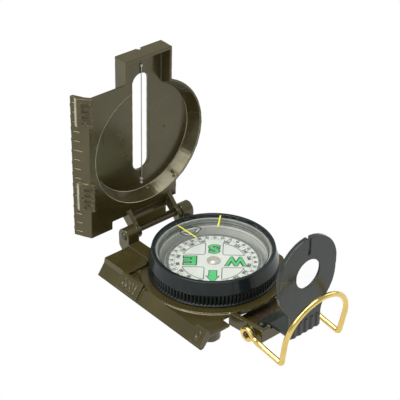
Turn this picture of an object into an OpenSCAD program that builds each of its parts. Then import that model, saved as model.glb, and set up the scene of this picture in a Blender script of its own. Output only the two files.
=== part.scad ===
// Sighting compass of the folding engineer pattern.
// Origin on the axis of the bezel, z = 0 on the face it rests on,
// +Y (front) from the eyepiece towards the cover hinge, the sighting direction, +Z up.
// Drawn with the cover stood open, the eyepiece raised and the thumb loop let out.
// The ruler edges lie on the -X side.

/* [Base casting] */
// distance of the ruler edge from the bezel axis
ruler_x = 31.3; // [30:0.1:33]
// inner edge of the ruler bevel
bevel_x = 27.9; // [26:0.1:29]
// height of the ruler edge above the rest face
ruler_z = 1.7; // [1:0.1:2.5]
// top of the side plate
plate_z = 6.5; // [5.5:0.1:7.5]
// top of the raised front corner
plateau_z = 8.2; // [7:0.1:9]
// front end of the ruler
front_y = 31.2; // [30:0.1:33]
// rear end of the ruler
rear_y = -29; // [-31:0.1:-27]
// thickness of the cast plate
wall = 1.2; // [0.9:0.1:1.8]
// radius of the step round the bezel
step_r = 27.8; // [27:0.1:28.5]
// top of the step round the bezel
step_z = 7.0; // [6.6:0.1:7.4]
// outside radius of the bowl under the plate
bowl_r = 22; // [21.8:0.1:22.6]

/* [Bezel] */
// radius over the knurls
knurl_r = 24.3; // [23.5:0.1:25]
// number of knurls
knurls = 104; // [60:1:120]
// underside of the bezel
bezel_z0 = 7.1; // [7.05:0.05:7.5]
// top of the knurled band
knurl_z = 11.6; // [10.5:0.1:12.5]
// top of the bezel rim
rim_z = 17.2; // [16.5:0.1:17.2]
// radius of the opening
open_r = 21.8; // [21.5:0.1:21.9]
// bore that turns on the base
bezel_bore = 22.0; // [21.95:0.01:22.1]

/* [Dial] */
// radius of the floating card
card_r = 18.3; // [17:0.1:19.5]
// height of the card
card_z = 10.2; // [9.5:0.1:12]

/* [Cover] */
// hinge axis, forward of the bezel axis
hinge_y = 33.9; // [33:0.1:35]
// hinge axis height
hinge_z = 11.35; // [11:0.05:12]
// angle the cover is stood open
cover_open = 88; // [0:1:180]
// mouth of the cover above the hinge axis when shut
mouth_h = 4.65; // [4:0.05:6]
// depth of the cover from mouth to back
cover_depth = 6.7; // [6:0.1:8]
// depth of the pocket
pocket_depth = 5.15; // [4.5:0.05:6]
// radius of the pocket at the mouth
pocket_r = 25.3; // [24.8:0.1:26]
// radius of the pocket floor
floor_r = 23.0; // [22:0.1:24]
// distance from hinge to the end of the plate
cover_len = 62.2; // [60:0.1:64]
// distance from hinge to the end of the tab
tab_len = 71.4; // [70:0.1:73]
// half width of the tab
tab_x = 10.8; // [10:0.1:12]
// half width of the sighting slot
slot_x = 3.85; // [3:0.05:5]

/* [Eyepiece] */
// height of the rear axle
axle_z = 3.6; // [3:0.1:4.5]
// position of the rear axle
axle_y = -34.3; // [-36:0.1:-33]
// lean of the raised eyepiece
eye_lean = 0; // [0:0.5:10]
// radius of the lens holder
holder_r = 13.75; // [12:0.05:15]
// radius of the lens hole
lens_r = 5.6; // [4:0.1:7]
// distance of the holder's rear face from the axle
holder_y = 15; // [14.8:0.05:16]
// thickness of the lens holder
holder_t = 1.8; // [1.4:0.1:1.9]
// height of the lens centre over the axle
lens_h = 27.7; // [25:0.1:28]

/* [Thumb loop] */
// radius of the wire
wire_r = 1.0; // [0.8:0.05:1.2]
// half width of the loop
loop_x = 14.1; // [13:0.1:15]
// length of the legs
loop_leg = 18; // [16:0.5:20]
// height of the arch
loop_h = 24.5; // [22:0.5:27]

/* [Hidden] */
$fn = 96;
eps = 0.01;
fit = 0.06;                   // radial clearance on the hinge pin and rear axle
pin_r = 1.0;
axle_r = 1.0;
lug_x0 = 11.15;               // lug inner face
lug_x1 = 16.3;                // lug outer face
lug_gap_x = lug_x0 - 0.15;    // half width of the gap between the lugs
arm_x0 = 9.2;                 // cover arm inner face
arm_x1 = lug_x0 - 0.2;        // cover arm outer face
plate_z0 = plate_z - wall;    // underside of the side plate
upstand_r = bezel_bore - 0.1; // ring that the bezel turns on
upstand_in = 21.0;

// bottom cover
lid_r = 19.5;
lid_t = 1.2;
screw_circle_r = 18.4;

// capsule, stacked upwards in the bore of the base
capsule_r = upstand_in - 0.05;
capsule_z = 2.0;
bowl_floor_z = 2.8;
gasket_z = 13.3;
window_z = 15.3;
window_top = 16.1;

// snap ring between base and bezel
snap_r = bezel_bore - 0.05;
snap_z = 9.2;

// rear channel
channel_front_x = 13.7;       // half width at the front
channel_rear_x = 11.9;        // half width at the rear end
channel_rear_y = -39.8;
channel_rear_wall = 1.3;
channel_z0 = 1.5;
channel_z1 = 6.9;
channel_floor = channel_z0 + 1.0;

casting_color = [0.36, 0.33, 0.24];
glass_color = [0.85, 0.92, 0.95, 0.35];
line_color = [0.9, 0.85, 0.1];
spring_color = [0.7, 0.7, 0.7];

// ---------- helpers ----------
// Cutting solids run past the metal by loose round amounts.
module box(x0, x1, y0, y1, z0, z1) {
  translate([x0, y0, z0]) cube([x1 - x0, y1 - y0, z1 - z0]);
}
module cyl(radius, z0, z1, facets = 144) {
  translate([0, 0, z0]) cylinder(r = radius, h = z1 - z0, $fn = facets);
}
module cone(radius0, radius1, z0, z1, facets) {
  translate([0, 0, z0]) cylinder(r1 = radius0, r2 = radius1, h = z1 - z0, $fn = facets);
}
// cylinder along x
module xcyl(radius, x0, x1, y, z) {
  translate([x0, y, z]) rotate([0, 90, 0]) cylinder(r = radius, h = x1 - x0, $fn = 48);
}
// profile in x,z swept along y
module ysweep(y0, y1) {
  translate([0, y1, 0]) rotate([90, 0, 0]) linear_extrude(y1 - y0) children();
}
// profile in y,z swept along x
module xsweep(x0, x1) {
  translate([x0, 0, 0]) rotate([90, 0, 90]) linear_extrude(x1 - x0) children();
}
// the span x0 to x1 and its mirror image, as [start, end] pairs
function both_sides(x0, x1) = [[-x1, -x0], [x0, x1]];

module cover_pose() {
  translate([0, hinge_y, hinge_z]) rotate([-cover_open, 0, 0]) children();
}
module eye_pose() {
  translate([0, axle_y, axle_z]) rotate([-eye_lean, 0, 0]) children();
}
module at_screws() {
  for (angle = [30, 150, 270]) rotate(angle) translate([screw_circle_r, 0, 0]) children();
}

// ---------- base ----------
module side_plate() {
  difference() {
    box(-bevel_x, 0, rear_y, front_y, plate_z0, plate_z);
    box(-17.6, 1, rear_y - 1, -24.7, plate_z0 - 1, plate_z + 1);
  }
}
module base_bevel() {
  ysweep(rear_y, front_y) polygon([
    [-bevel_x, plate_z], [-ruler_x, ruler_z], [-ruler_x + 1.5, ruler_z],
    [-bevel_x + 0.9, plate_z0], [-bevel_x + 0.9, plate_z]]);
}
// one raised number pad on the base ruler
module base_pad(y0, y1) {
  ysweep(y0, y1) polygon([
    [-31.2, 2.7], [-31.6, 3.1], [-28.0, plateau_z], [-26.9, plateau_z],
    [-26.9, plate_z - 0.6], [-28.6, 4.4]]);
}
module raised_corner() {
  ysweep(17.3, front_y) polygon([
    [-bevel_x - 0.25, 6.1], [-bevel_x + 0.3, plateau_z], [-15.9, plateau_z],
    [-15.9, plate_z0], [-bevel_x + 0.6, plate_z0]]);
}
module hinge_lugs() {
  lug_r = 3.2;
  // platforms behind the lugs
  for (span = both_sides(lug_gap_x, lug_x1))
    box(span[0], span[1], 8, front_y - 0.2, plate_z0 - 0.6, 8.8);
  for (span = both_sides(lug_x0, lug_x1)) xsweep(span[0], span[1]) union() {
    translate([hinge_y, hinge_z]) circle(r = lug_r, $fn = 48);
    polygon([[hinge_y - lug_r, hinge_z], [hinge_y + lug_r, hinge_z], [hinge_y + lug_r, 6.4],
             [hinge_y + 1.2, 4.2], [28, 4.2], [28, 8.4], [hinge_y - lug_r, 8.4]]);
  }
}
// round body under and round the bezel
module round_body() {
  intersection() {
    cyl(step_r, plate_z0, step_z);
    box(-40, 25.6, -40, 40, -1, 20);
  }
  cyl(bowl_r, 0, 6.5);
  cyl(upstand_r, 5, 15.9);
}
// support feet under the rear and front corners
module feet() {
  for (y = [-23.1, 22.5]) translate([-21.8, y, 0]) cyl(3.9, 0, plate_z0 + 0.2, 48);
}
module channel_plan(y_rear, y_front, inset) {
  front_x = channel_front_x - inset;
  rear_x = channel_rear_x - inset;
  polygon([[-front_x, y_front], [front_x, y_front], [rear_x, y_rear], [-rear_x, y_rear]]);
}
// rear channel that carries the eyepiece
module rear_channel() {
  inner_rear_y = channel_rear_y + channel_rear_wall;
  difference() {
    translate([0, 0, channel_z0]) linear_extrude(channel_z1 - channel_z0)
      channel_plan(channel_rear_y, -24, 0);
    translate([0, 0, channel_floor]) linear_extrude(10) channel_plan(inner_rear_y, -20, 1.7);
    // opening in the floor under the axle
    box(-9.6, 9.6, inner_rear_y, -31.2, 0, 5);
    // gap in the rear wall that the eyepiece foot passes over
    box(-7.9, 7.9, channel_rear_y - 1, channel_rear_y + 3, 5.9, 9);
  }
  // bosses that hold the rear axle
  for (span = both_sides(10.6, 12.9)) xcyl(2.4, span[0], span[1], axle_y, axle_z + 0.3);
}
module snap_groove() {
  rotate_extrude($fn = 144) translate([snap_r, snap_z]) circle(r = 0.5, $fn = 24);
}

module base_frame() color(casting_color) difference() {
  union() {
    difference() {
      union() {
        side_plate();
        base_bevel();
        base_pad(7.6, 19.6);
        base_pad(rear_y, -23);
        raised_corner();
        hinge_lugs();
      }
      // room for the bezel to turn
      cyl(knurl_r + 0.75, step_z, 20);
    }
    round_body();
    feet();
    rear_channel();
  }
  // bore for the capsule, recess for the bottom cover and the opening between them
  cyl(upstand_in, capsule_z, 20);
  cyl(lid_r + 0.1, -1, lid_t);
  cyl(17.5, 1.1, 3);
  snap_groove();
  // hinge pin holes and rear axle holes
  xcyl(pin_r, -20, 20, hinge_y, hinge_z);
  xcyl(axle_r, -20, 20, axle_y, axle_z);
  // the space between the lugs stays open
  difference() {
    box(-lug_gap_x, lug_gap_x, 20, 45, -1, 20);
    cyl(step_r, -2, 21);
  }
  at_screws() cyl(0.65, -1, 1.95, 24);
}

module bottom_cover() color([0.25, 0.25, 0.24]) difference() {
  cyl(lid_r, 0, lid_t);
  at_screws() {
    cyl(0.75, -1, 2, 24);
    cone(1.3, 0.75, 0, 0.65, 32);
  }
}

module bottom_screws() color([0.7, 0.7, 0.68]) at_screws() difference() {
  union() {
    cone(1.15, 0.7, 0.16, 0.66, 32);
    cyl(0.6, 0.6, 1.9, 32);
  }
  // driver slot
  box(-1.4, 1.4, -0.15, 0.15, 0, 0.35);
}

// ---------- capsule ----------
module capsule_bowl() color([0.8, 0.8, 0.8]) difference() {
  cyl(capsule_r, capsule_z, gasket_z);
  cyl(20.2, bowl_floor_z, 14);
}
module capsule_gasket() color([0.1, 0.1, 0.1]) difference() {
  cyl(capsule_r, gasket_z, window_z);
  cyl(20.6, 13, 16);
}
module capsule_window() color(glass_color) cyl(capsule_r, window_z, window_top);
module pivot_post() color([0.75, 0.75, 0.72]) {
  shaft_r = 0.8;
  shaft_top = card_z - 1.5;
  cyl(2.2, bowl_floor_z, 3.4, 48);
  cyl(shaft_r, 3.4, shaft_top, 32);
  cone(shaft_r, 0.1, shaft_top, shaft_top + 2.0, 32);
}
module lubber_line() color(line_color) box(-0.3, 0.3, 9.9, 20.8, window_top, window_top + 0.1);

// ---------- floating dial ----------
card_top = card_z + 0.4;
cap_top = card_z + 0.9;       // top of the cap's flange
magnet_z0 = card_z - 1.4;
hub_r = 1.6;                  // cap hub, through the card and magnet

module hub_hole() {
  cyl(hub_r + 0.05, 0, 20, 48);
}
module dial_card() color([0.93, 0.92, 0.9]) difference() {
  cyl(card_r, card_z, card_top);
  hub_hole();
}
module dial_magnet() color([0.35, 0.35, 0.37]) difference() {
  box(-2.2, 2.2, -12, 12, magnet_z0, card_z);
  hub_hole();
}
module pivot_cap() color([0.85, 0.8, 0.75]) difference() {
  union() {
    cyl(hub_r, magnet_z0, card_z + 0.5, 48);
    cyl(2.6, card_top, cap_top, 48);
    cone(2.0, 1.5, cap_top, cap_top + 0.5, 48);
  }
  cyl(1.15, 0, cap_top, 48);
}
module pivot_jewel() color([0.7, 0.15, 0.25]) difference() {
  cyl(1.1, card_z - 0.9, cap_top, 32);
  cone(0.95, 0.3, card_z - 1, card_z + 0.55, 32);
}

// ---------- bezel ----------
glass_top = 16.9;

// three points a knurl: two on the crest, one in the valley
function knurl_points(count, crest_r, valley_r) = [
  for (i = [0 : count - 1])
    for (point = [[crest_r, -0.28], [crest_r, 0.28], [valley_r, 0.5]])
      let (angle = 360 * (i + point[1]) / count)
        point[0] * [cos(angle), sin(angle)]];

module bezel_ring() color([0.13, 0.15, 0.18]) difference() {
  blank_r = bezel_bore - 0.8;   // inside radius before boring
  union() {
    translate([0, 0, bezel_z0 + 0.4]) linear_extrude(knurl_z - 0.75 - bezel_z0)
      polygon(knurl_points(knurls, knurl_r, knurl_r - 0.6));
    // flange below the knurls
    rotate_extrude($fn = 144) polygon([
      [blank_r, bezel_z0], [knurl_r + 0.2, bezel_z0], [knurl_r + 0.4, bezel_z0 + 0.2],
      [knurl_r + 0.4, bezel_z0 + 0.5], [knurl_r + 0.1, bezel_z0 + 0.8],
      [blank_r, bezel_z0 + 0.8]]);
    // bead above the knurls and sloping rim
    rotate_extrude($fn = 144) polygon([
      [blank_r, knurl_z - 0.5], [knurl_r + 0.06, knurl_z - 0.5], [knurl_r + 0.2, knurl_z - 0.2],
      [knurl_r + 0.2, knurl_z + 0.2], [open_r + 1.5, rim_z - 0.25], [open_r + 1.3, rim_z],
      [blank_r, rim_z]]);
  }
  cyl(bezel_bore, 5, window_top);
  cyl(open_r, 15, 20);
  snap_groove();
}
module bezel_glass() color([0.85, 0.92, 0.95, 0.3]) cyl(open_r - 0.03, 16.3, glass_top);
module bezel_index() color(line_color)
  rotate(-48) box(-0.3, 0.3, 14.0, open_r - 0.1, glass_top, glass_top + 0.1);
module bezel_snap_ring() color(spring_color)
  rotate(20) rotate_extrude(angle = 330, $fn = 144)
    translate([snap_r, snap_z]) circle(r = 0.38, $fn = 16);

// ---------- cover ----------
// Drawn shut: hinge axis on the x axis, plate running towards -Y, mouth at z = mouth_h.
// Distances from the hinge are measured towards -Y.
cover_back = mouth_h + cover_depth;
pocket_floor = mouth_h + pocket_depth;
plate_start = 1.6;            // hinge end of the plate
notch_end = 5.1;              // far side of the notch, where the hinge block starts
slot_ends = [23.2, 57.6];     // centres of the slot's round ends
peg_stations = [64.9, 15.3, 13.7];
wire_gap = 0.53;              // from a peg centre to the end of the wire

// plate with a notch that clears the lug
module cover_plate() {
  difference() {
    box(-bevel_x, 0, -cover_len, -plate_start, mouth_h, mouth_h + 0.9);
    box(-17.9, 1, -notch_end, 0, mouth_h - 1, mouth_h + 2);
  }
}
module cover_bevel() {
  ysweep(-cover_len, -plate_start) polygon([
    [-bevel_x, mouth_h], [-ruler_x, cover_back], [-ruler_x + 1.4, cover_back],
    [-bevel_x + 0.9, mouth_h + 0.9], [-bevel_x + 0.9, mouth_h]]);
}
// one raised pad on the cover ruler, from near to far from the hinge
module cover_pad(near, far) {
  ysweep(-far, -near) translate([0, mouth_h]) polygon([
    [-30.3, 4.9], [-30.8, 3.2], [-30.6, 2.8], [-26.9, -1.05],
    [-26.3, -1.1], [-26.0, -0.8], [-26.0, 0.5], [-28.2, 3.2]]);
}
module cover_arms() {
  for (span = both_sides(arm_x0, arm_x1)) xsweep(span[0], span[1]) union() {
    circle(r = 2.7, $fn = 48);
    polygon([[-2.7, 0], [-7.5, mouth_h + 0.3], [-5.1, mouth_h + 5.4], [1.6, 2.17]]);
    polygon([[-2.7, 0], [-2.2, -1.5], [0, -2.7], [2.7, 0], [1.6, 2.17], [0, 2.7]]);
  }
}
module arm_webs() {
  web_x = arm_x0 + eps;
  // flap on the plate side of the pin
  xsweep(-web_x, 5.4) polygon([[-1.25, 0.3], [-4.75, 1.45], [-4.55, 2.2], [-1.0, 1.9]]);
  // web over the pin
  xsweep(-web_x, web_x)
    polygon([[-1.3, 0.9], [-1.3, 1.9], [0.6, 1.9], [0.6, 1.2], [-0.5, 1.2]]);
  // ledge running out from the hinge block
  xsweep(-web_x, web_x) polygon([
    [-5.3, mouth_h + 0.9], [2.0, mouth_h + 0.7], [2.0, mouth_h + 1.6], [-5.3, mouth_h + 2.4]]);
}
module sighting_slot() {
  for (station = slot_ends) translate([0, -station, 0]) cyl(slot_x, 0, 20, 64);
  box(-slot_x, slot_x, -slot_ends[1], -slot_ends[0], 0, 20);
}
// notch across the end of the tab
module sight_notch() {
  ysweep(-tab_len - 1, -tab_len + 2) translate([0, cover_back])
    polygon([[-0.9, 1], [-0.9, -0.5], [0, -1.4], [0.9, -0.5], [0.9, 1]]);
}
// ruler graduations, one every 4 mm, every fifth one longer
module graduations() {
  for (i = [0 : 14]) {
    inner_end = i % 5 == 4 ? [[-28.7, 2.5], [-30, 2]] : [[-29.2, 3.5], [-30.4, 3]];
    translate([0, -3.9 - 4 * i, 0]) ysweep(-0.28, 0.28) translate([0, mouth_h])
      polygon(concat([[-31.7, 6.45], [-30.7, 6.1]], inner_end));
  }
}

module cover_shell() color(casting_color) cover_pose() difference() {
  union() {
    cover_plate();
    cover_bevel();
    cover_pad(50.2, cover_len);
    cover_pad(13.9, 26);
    // round dish
    translate([0, -hinge_y, 0]) cone(pocket_r + 0.9, floor_r + 1.7, mouth_h, cover_back, 144);
    // tab
    box(-tab_x, tab_x, -tab_len, -hinge_y, mouth_h, cover_back);
    // hinge block
    box(-13.6, 13.6, -14, -notch_end, mouth_h, cover_back);
    cover_arms();
    arm_webs();
  }
  // pocket that takes the bezel and the folded eyepiece
  translate([0, -hinge_y, 0]) cone(pocket_r, floor_r, mouth_h - eps, pocket_floor, 144);
  box(-tab_x + 1, tab_x - 1, -tab_len + 1.2, -hinge_y, mouth_h - 1, pocket_floor);
  // hollow of the hinge block, open at the back
  box(-12.4, 12.4, -8.6, -6.2, mouth_h + 1.2, cover_back + 1);
  sighting_slot();
  // wire holes
  for (station = peg_stations) translate([0, -station, 0]) cyl(0.55, 0, 20, 24);
  sight_notch();
  graduations();
  xcyl(pin_r + fit, -20, 20, 0, 0);
}
module hinge_pin() color([0.45, 0.42, 0.33]) {
  xcyl(pin_r, -lug_x1, lug_x1, hinge_y, hinge_z);
  // tapered heads
  for (side = [-1, 1]) translate([side * lug_x1, hinge_y, hinge_z]) rotate([0, side * 90, 0])
    cone(1.9, 1.2, 0, 0.6, 48);
}
module sighting_wire() color([0.75, 0.75, 0.75]) cover_pose()
  translate([0, -peg_stations[1] - wire_gap, pocket_floor - 0.35]) rotate([90, 0, 0])
    cyl(0.2, 0, peg_stations[0] - peg_stations[1] - 2 * wire_gap, 16);
module wire_pegs() color([0.8, 0.78, 0.7]) cover_pose()
  for (station = peg_stations)
    translate([0, -station, 0]) cyl(0.5, pocket_floor - 0.6, pocket_floor + 1.3, 24);

// ---------- eyepiece ----------
// Drawn upright with the axle on the x axis.
holder_rear = -holder_y;
holder_front = holder_rear + holder_t;
seat_y = holder_rear + 0.5;   // rear face of the lens
head_h = lens_h + 1;          // centre of the holder's round head
foot_x = 7.2;

// +x edge of the holder from the foot up: half width, height over the axle
holder_edge = [
  [foot_x, 2.6], [7.15, 8.6], [7.5, 10.7], [8.4, 12.9], [9.8, 15], [11.2, 17],
  [12.5, 19.4], [13.35, 22.6], [holder_r, head_h]];

// places children along the lens axis, their +z towards the front
module on_lens_axis(y) {
  translate([0, y, lens_h]) rotate([-90, 0, 0]) children();
}
module holder_outline() {
  union() {
    translate([0, head_h]) circle(r = holder_r);
    polygon(concat(holder_edge,
      [for (i = [len(holder_edge) - 1 : -1 : 0]) [-holder_edge[i][0], holder_edge[i][1]]]));
  }
}
// foot, sloped up out of the channel and over its rear wall
module bracket_foot() {
  xsweep(-foot_x, foot_x) polygon([
    [1.7, -0.4], [1.7, 1.4], [-4.4, 3.9], [holder_front + 0.9, 4.3], [holder_front + 0.2, 4.8],
    [holder_front - 0.2, 5.6], [holder_rear, 5.6], [holder_rear, 2.9], [holder_rear + 0.4, 2.6],
    [-3.4, 2.6], [-1.4, -1.0]]);
}
module thumb_ribs() {
  for (i = [-2 : 2])
    box(2.8 * i - 0.7, 2.8 * i + 0.7, holder_rear - 0.5, holder_rear + 0.5, 2.7, 8.4);
}
module lens_bracket() color([0.3, 0.31, 0.31]) eye_pose() difference() {
  union() {
    ysweep(holder_rear, holder_front) holder_outline();
    bracket_foot();
    xcyl(1.6, -8.2, 8.2, 0, 0);
    thumb_ribs();
  }
  // lens hole and seat
  on_lens_axis(holder_rear - 1) cyl(lens_r, 0, 5, 64);
  on_lens_axis(seat_y) cyl(lens_r + 1.5, 0, 5, 64);
  // sight slit
  box(-0.6, 0.6, holder_rear - 1, holder_rear + 4, lens_h + holder_r - 6, lens_h + holder_r + 2);
  xcyl(axle_r + fit, -20, 20, 0, 0);
}
// lens section: radius, distance along the lens axis
lens_section = [
  [0, -0.4], [2, -0.36], [4, -0.2], [5.4, 0], [7.05, 0],
  [7.05, 0.5], [5.6, 0.5], [4, 0.72], [2, 0.86], [0, 0.9]];
module eyepiece_lens() color(glass_color) eye_pose()
  on_lens_axis(seat_y) rotate_extrude() polygon(lens_section);
module lens_ring() color([0.12, 0.12, 0.12]) eye_pose()
  on_lens_axis(seat_y + 0.5) difference() {
    cyl(lens_r + 1.47, 0, 0.5, 64);
    cyl(lens_r + 0.9, -1, 3, 64);
  }
module rear_axle() color([0.7, 0.62, 0.4]) xcyl(axle_r - 0.01, -15.4, 15.4, axle_y, axle_z);
// leaf on the channel floor that bears on the foot of the eyepiece
module eyepiece_spring() color(spring_color) difference() {
  box(-4, 4, -32.0, -25.8, channel_floor, channel_floor + 0.3);
  translate([0, -27.6, 0]) cyl(0.9, 2, 4, 32);
}

// ---------- thumb loop ----------
arch_r = loop_x + 0.5;
arch_base = loop_h - arch_r;  // height where the arch springs from the uprights

// straight length of wire between two points
module wire(start, end) {
  run = end - start;
  length = norm(run);
  translate(start) rotate([0, acos(run[2] / length), atan2(run[1], run[0])])
    cylinder(r = wire_r, h = length, $fn = 32);
}
module wire_joint(place) {
  translate(place) sphere(r = wire_r + 0.04, $fn = 32);
}
module thumb_loop() color([0.85, 0.7, 0.3]) {
  bend_y = axle_y - loop_leg;
  bend_z = 1.05;
  // legs, each with an eye round the axle
  for (x = [-loop_x, loop_x]) {
    difference() {
      union() {
        translate([x, axle_y, axle_z]) rotate([0, 90, 0]) rotate_extrude($fn = 48)
          translate([2.1, 0]) circle(r = wire_r, $fn = 24);
        wire([x, axle_y - 2.0, axle_z - 0.2], [x, bend_y, bend_z]);
      }
      xcyl(axle_r + fit, -20, 20, axle_y, axle_z);
    }
    wire_joint([x, bend_y, bend_z]);
  }
  // uprights and arch, leaning to the rear
  translate([0, bend_y, bend_z]) rotate([10, 0, 0]) {
    for (side = [-1, 1]) {
      wire([side * loop_x, 0, 0], [side * arch_r, 0, arch_base]);
      wire_joint([side * arch_r, 0, arch_base]);
    }
    translate([0, 0, arch_base]) rotate([90, 0, 0]) rotate_extrude(angle = 180)
      translate([arch_r, 0]) circle(r = wire_r, $fn = 32);
  }
}

base_frame();
bottom_cover();
bottom_screws();
capsule_bowl();
capsule_gasket();
capsule_window();
pivot_post();
lubber_line();
dial_card();
dial_magnet();
pivot_cap();
pivot_jewel();
bezel_ring();
bezel_glass();
bezel_index();
bezel_snap_ring();
cover_shell();
hinge_pin();
sighting_wire();
wire_pegs();
lens_bracket();
eyepiece_lens();
lens_ring();
rear_axle();
eyepiece_spring();
thumb_loop();
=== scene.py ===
"""Folding sighting compass, dressed over its CAD frame.

The base lies flat round the Z axis. The cover hinges at the +Y end and stands open, the
eyepiece bracket and the thumb loop stand at the -Y end. Shapes are written in millimetres
and become metres when their meshes are made.
"""
import bpy
import bmesh
import math
import numpy as np
from mathutils import Matrix, Vector

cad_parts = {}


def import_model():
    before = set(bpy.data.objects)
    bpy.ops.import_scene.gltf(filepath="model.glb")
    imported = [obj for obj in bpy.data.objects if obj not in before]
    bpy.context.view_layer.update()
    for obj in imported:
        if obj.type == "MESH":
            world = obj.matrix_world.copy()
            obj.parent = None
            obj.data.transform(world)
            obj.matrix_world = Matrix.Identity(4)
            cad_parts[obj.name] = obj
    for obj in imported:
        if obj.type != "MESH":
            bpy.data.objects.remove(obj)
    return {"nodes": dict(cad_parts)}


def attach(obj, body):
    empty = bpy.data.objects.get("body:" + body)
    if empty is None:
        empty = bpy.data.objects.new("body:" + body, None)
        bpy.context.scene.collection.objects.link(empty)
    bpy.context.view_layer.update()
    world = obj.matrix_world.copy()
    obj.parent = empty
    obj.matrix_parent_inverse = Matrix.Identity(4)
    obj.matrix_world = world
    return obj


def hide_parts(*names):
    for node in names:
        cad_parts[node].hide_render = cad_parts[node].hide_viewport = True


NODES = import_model()["nodes"]
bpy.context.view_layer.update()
scene = bpy.context.scene
MM = 0.001

# ---------------------------------------------------------------- driving dimensions
HINGE_Y, HINGE_Z = 33.9, 11.35      # cover hinge axis
AXLE_Y, AXLE_Z = -34.3, 3.6         # axle of the eyepiece and the thumb loop
COVER_OPEN = 88.0                   # degrees
MOUTH_Z = 4.65                      # datum for cover details, above the hinge, cover shut
LENS_BACK, LENS_UP = 15.0, 27.3     # eyepiece lens from the axle, towards -Y and up
LENS_SEAT = 0.5                     # shift of the lens glass towards +Y
DIAL_TOP = 10.6
NORTH_AZIMUTH = 223.0               # compass angle of the dial's north, degrees from +Y
FINE_TURN = 192                     # segments of the large capsule and crystal rings


def spin(degrees, axis="Z"):
    return Matrix.Rotation(math.radians(degrees), 4, axis)


def shift(x, y, z):
    return Matrix.Translation((x, y, z))


# Cover details are laid out with the cover shut: origin on the hinge, cover towards -Y.
COVER = shift(0, HINGE_Y, HINGE_Z) @ spin(-COVER_OPEN, "X")
DIAL = spin(-NORTH_AZIMUTH)


# ---------------------------------------------------------------- shaders
class ShaderTree:
    """A cleared node tree. Node inputs take either a value or a socket to link."""

    def __init__(self, owner):
        owner.use_nodes = True
        self.tree = owner.node_tree
        self.tree.nodes.clear()

    def add(self, kind, inputs=None, **settings):
        node = self.tree.nodes.new(kind)
        for key, value in settings.items():
            setattr(node, key, value)
        for key, value in (inputs or {}).items():
            if isinstance(value, bpy.types.NodeSocket):
                self.tree.links.new(value, node.inputs[key])
            else:
                node.inputs[key].default_value = value
        return node

    def multiply(self, a, b):
        return self.add("ShaderNodeMath", {0: a, 1: b}, operation="MULTIPLY").outputs[0]

    def remap(self, value, low, high, to_low=0.0, to_high=1.0):
        inputs = {0: value, 1: low, 2: high, 3: to_low, 4: to_high}
        return self.add("ShaderNodeMapRange", inputs).outputs[0]

    def mix_color(self, share, first, second):
        # inputs 6 and 7 and output 2 are the colour sockets of the Mix node
        inputs = {0: share, 6: first, 7: second}
        return self.add("ShaderNodeMix", inputs, data_type="RGBA").outputs[2]

    def mix_shader(self, share, first, second):
        inputs = {0: share, 1: first, 2: second}
        return self.add("ShaderNodeMixShader", inputs).outputs[0]


def srgb(*channels):
    linear = (((c / 255 + 0.055) / 1.055) ** 2.4 if c > 10 else c / 255 / 12.92
              for c in channels)
    return (*linear, 1.0)


def tint(color, factor):
    return tuple(min(1.0, c * factor) for c in color[:3]) + (1.0,)


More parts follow.
